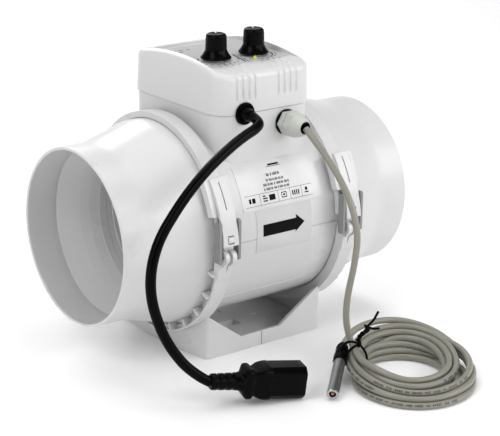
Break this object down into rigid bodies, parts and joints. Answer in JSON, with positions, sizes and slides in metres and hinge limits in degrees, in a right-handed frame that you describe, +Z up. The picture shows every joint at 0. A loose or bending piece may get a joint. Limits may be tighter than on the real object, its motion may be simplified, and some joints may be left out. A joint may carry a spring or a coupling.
{
  "type": "inline duct fan",
  "caption": "White inline mixed-flow duct fan with round spigots, mounting base, clamp latches, terminal box, speed and thermostat knobs, probe cable and power cord.",
  "frame": {"origin": "centre of the base on the surface that it stands on, under the middle of the duct", "axes": "+X along the duct axis in the airflow direction, -Y the front with the labels and cords, +Z up"},
  "size_m": [0.2554, 0.2913, 0.218],
  "materials": {
    "white_plastic": "white moulded plastic, semi-gloss",
    "grey_plastic": "mid-grey moulded nylon, satin",
    "gland_plastic": "light grey nylon, satin",
    "black_plastic": "black moulded plastic, satin",
    "black_rubber": "black rubber or soft PVC",
    "cable_jacket": "beige-grey soft PVC jacket",
    "steel": "bright steel",
    "copper": "enamelled copper",
    "brass": "nickel-plated brass",
    "aluminium": "plain aluminium",
    "circuit_board": "green laminate",
    "led_lens": "yellow-green lens",
    "label_white": "white film label",
    "label_clear": "clear film with a black arrow"
  },
  "bodies": {
    "housing": {"mounting_base": "white_plastic", "inlet_spigot": "white_plastic", "outlet_spigot": "white_plastic", "inlet_cone": "white_plastic", "inlet_cone_rib": "white_plastic", "duct_seals": "black_rubber", "motor_casing": "white_plastic", "inlet_band": "white_plastic", "outlet_band": "white_plastic", "guide_vane_block": "white_plastic", "motor_rear_cap": "white_plastic", "stator_core": "steel", "stator_windings": "copper", "motor_bearings": "steel", "terminal_box_cover": "white_plastic", "speed_pot_body": "black_plastic", "thermostat_pot_body": "black_plastic", "pot_nuts": "steel", "control_board": "circuit_board", "board_screws": "steel", "transformer": "circuit_board", "relay": "black_plastic", "triac_heat_sink": "aluminium", "capacitor": "aluminium", "terminal_block": "circuit_board", "terminal_screws": "steel", "cover_gasket": "black_rubber", "status_led": "led_lens", "motor_lead": "black_rubber", "box_screws": "steel", "cord_grommet": "black_rubber", "gland_washer": "black_rubber", "gland_body": "gland_plastic", "gland_nut": "gland_plastic", "gland_insert": "black_rubber", "gland_locknut": "gland_plastic", "power_cord": "black_rubber", "plug_body": "black_plastic", "plug_pins": "brass", "sensor_cable": "cable_jacket", "sensor_coil": "cable_jacket", "twist_tie": "black_plastic", "probe_tube": "steel", "probe_element": "copper", "probe_sleeve": "black_rubber", "rating_label": "label_white", "airflow_label": "label_clear"},
    "impeller_rotor": {"impeller": "white_plastic", "impeller_nut": "steel", "impeller_nose_cap": "white_plastic", "motor_shaft": "steel", "rotor": "steel"},
    "speed_control": {"speed_knob": "black_plastic", "speed_pot_shaft": "steel"},
    "thermostat_control": {"thermostat_knob": "black_plastic", "thermostat_pot_shaft": "steel"},
    "latch_inlet_front": {"latch_inlet_front": "grey_plastic"},
    "latch_inlet_rear": {"latch_inlet_rear": "grey_plastic"},
    "latch_outlet_front": {"latch_outlet_front": "grey_plastic"},
    "latch_outlet_rear": {"latch_outlet_rear": "grey_plastic"}
  },
  "joints": [
    {"name": "impeller_spin", "type": "hinge", "parent": "housing", "child": "impeller_rotor", "pos_m": [0, 0, 0.0886], "axis": [1, 0, 0], "continuous": true},
    {"name": "speed_knob_turn", "type": "hinge", "parent": "housing", "child": "speed_control", "pos_m": [-0.0168, -0.0156, 0.2], "axis": [0, 0, 1], "range_deg": [-150, 120]},
    {"name": "thermostat_knob_turn", "type": "hinge", "parent": "housing", "child": "thermostat_control", "pos_m": [0.0156, -0.0156, 0.2], "axis": [0, 0, 1], "range_deg": [-150, 120]},
    {"name": "latch_inlet_front_open", "type": "hinge", "parent": "housing", "child": "latch_inlet_front", "pos_m": [-0.0536, -0.0795, 0.0835], "axis": [1, 0, 0], "range_deg": [0, 75]},
    {"name": "latch_inlet_rear_open", "type": "hinge", "parent": "housing", "child": "latch_inlet_rear", "pos_m": [-0.0536, 0.0795, 0.0835], "axis": [-1, 0, 0], "range_deg": [0, 75]},
    {"name": "latch_outlet_front_open", "type": "hinge", "parent": "housing", "child": "latch_outlet_front", "pos_m": [0.0536, -0.0795, 0.0835], "axis": [1, 0, 0], "range_deg": [0, 75]},
    {"name": "latch_outlet_rear_open", "type": "hinge", "parent": "housing", "child": "latch_outlet_rear", "pos_m": [0.0536, 0.0795, 0.0835], "axis": [-1, 0, 0], "range_deg": [0, 75]}
  ]
}
